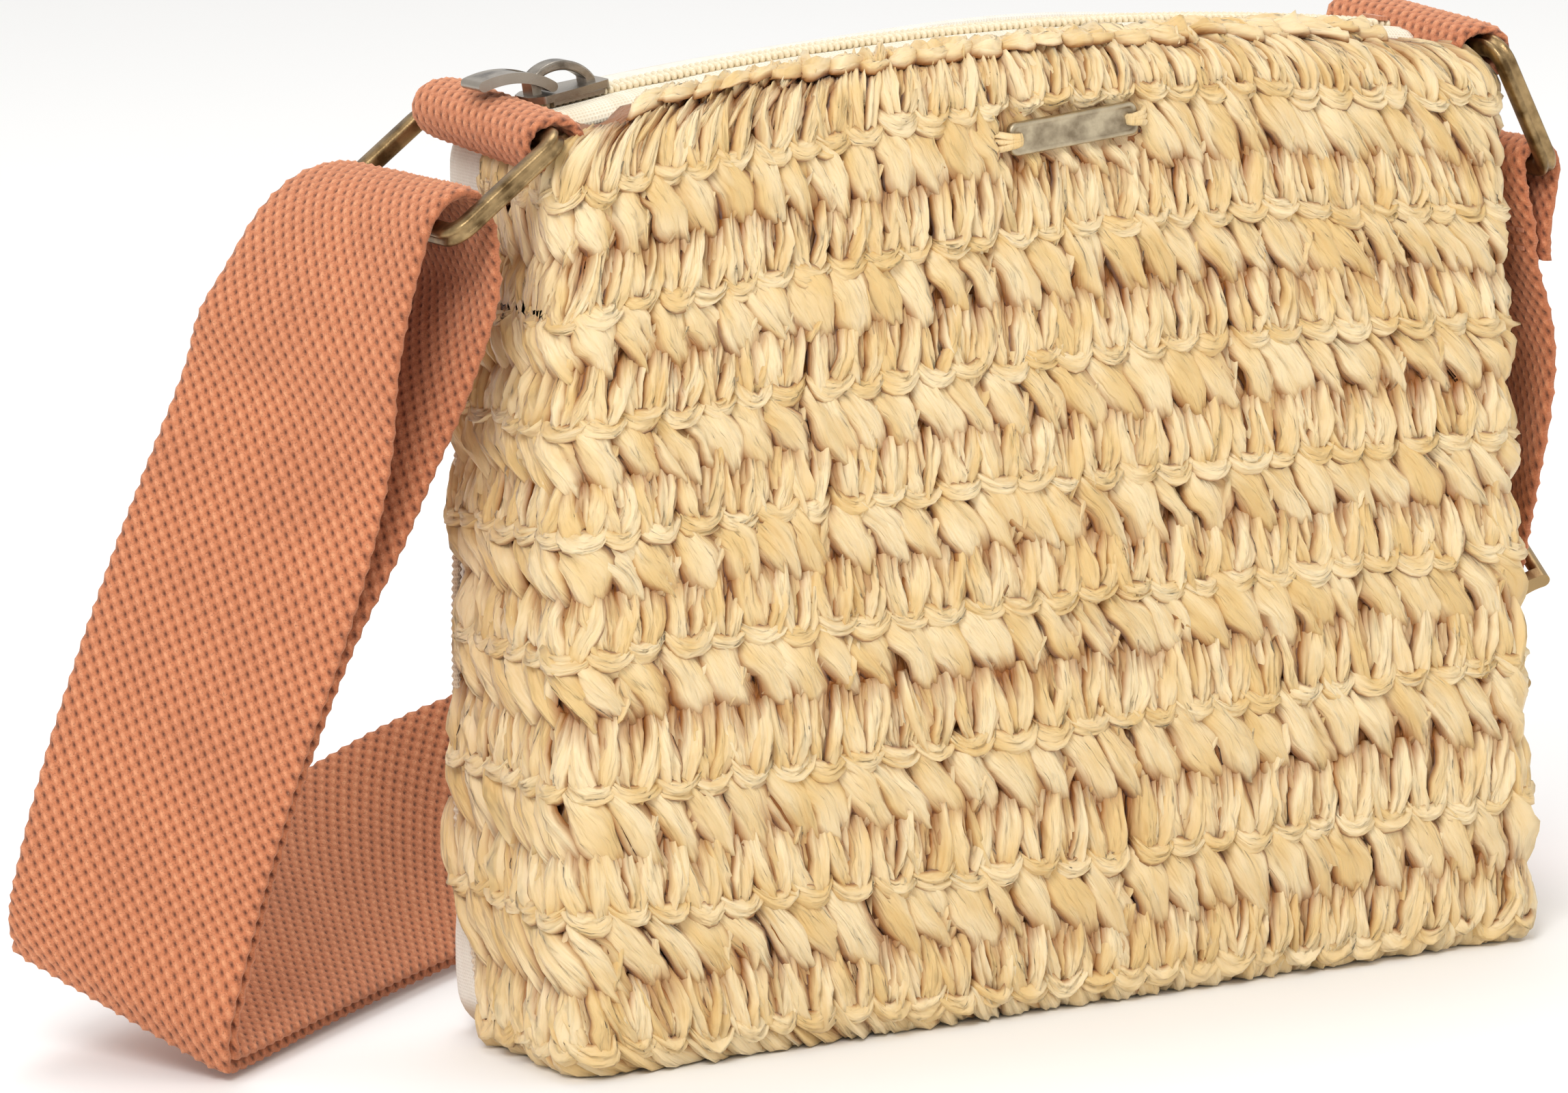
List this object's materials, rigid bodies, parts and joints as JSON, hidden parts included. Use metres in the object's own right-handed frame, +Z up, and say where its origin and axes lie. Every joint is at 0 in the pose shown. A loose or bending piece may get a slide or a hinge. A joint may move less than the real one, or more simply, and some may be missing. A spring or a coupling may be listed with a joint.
{
  "type": "crossbody purse",
  "caption": "Boxy upright crossbody purse with crocheted raffia front, canvas back, zipped top and wide adjustable webbing strap on rectangular rings",
  "frame": {"origin": "middle of the flat base the purse stands on", "axes": "+X to the wearer's right along the zip as seen from the crocheted front, +Y from the front to the back, +Z up"},
  "size_m": [0.315, 0.1589, 0.1843],
  "materials": {
    "raffia": "crumpled paper raffia, crocheted",
    "canvas": "plain cotton canvas",
    "lining_cloth": "thin cotton",
    "zip_tape": "fine woven tape",
    "zip_coil": "moulded coil",
    "zip_metal": "antique dark nickel",
    "webbing": "coarse woven cotton webbing",
    "ring_brass": "antique brass, brushed",
    "thread": "sewing thread"
  },
  "bodies": {
    "bag": {"crochet_front_panel": "raffia", "canvas_back_panel": "canvas", "seam_welt": "canvas", "lining": "lining_cloth", "zip_tape_front": "zip_tape", "zip_tape_back": "zip_tape", "zip_coil_front": "zip_coil", "zip_coil_back": "zip_coil", "zip_end_tack_right": "thread", "tab_left": "webbing", "tab_right": "webbing", "name_plate": "ring_brass", "plate_thread_left": "raffia", "plate_thread_right": "raffia", "strap_left_outer": "webbing", "strap_left_inner": "webbing", "strap_rear_outer": "webbing", "strap_rear_inner": "webbing", "strap_right_run": "webbing"},
    "zip_slider": {"zip_slider_body": "zip_metal", "zip_slider_crown": "zip_metal"},
    "zip_pull": {"zip_pull": "zip_metal"},
    "ring_left": {"ring_left": "ring_brass", "strap_left_loop": "webbing"},
    "ring_right": {"ring_right": "ring_brass", "strap_right_loop": "webbing", "strap_right_stitch": "thread"},
    "adjuster": {"adjuster_frame": "ring_brass", "adjuster_middle_bar": "ring_brass", "strap_tail_loop": "webbing"}
  },
  "joints": [
    {"name": "zip_travel", "type": "hinge", "parent": "bag", "child": "zip_slider", "pos_m": [0, 0, -0.438], "axis": [0, 1, 0], "range_deg": [0, 14.8]},
    {"name": "zip_pull_flip", "type": "hinge", "parent": "zip_slider", "child": "zip_pull", "pos_m": [-0.08793, 0, 0.17993], "axis": [0, 1, 0], "range_deg": [0, 110]},
    {"name": "ring_left_swing", "type": "hinge", "parent": "bag", "child": "ring_left", "pos_m": [-0.0987, 0, 0.1733], "axis": [0, 1, 0], "range_deg": [-12, 15]},
    {"name": "ring_right_swing", "type": "hinge", "parent": "bag", "child": "ring_right", "pos_m": [0.0987, 0, 0.1733], "axis": [0, 1, 0], "range_deg": [-15, 3]},
    {"name": "adjuster_slide", "type": "slide", "parent": "bag", "child": "adjuster", "axis": [-0.0464, -0.3984, 0.916], "range_m": [0, 0.012]}
  ]
}
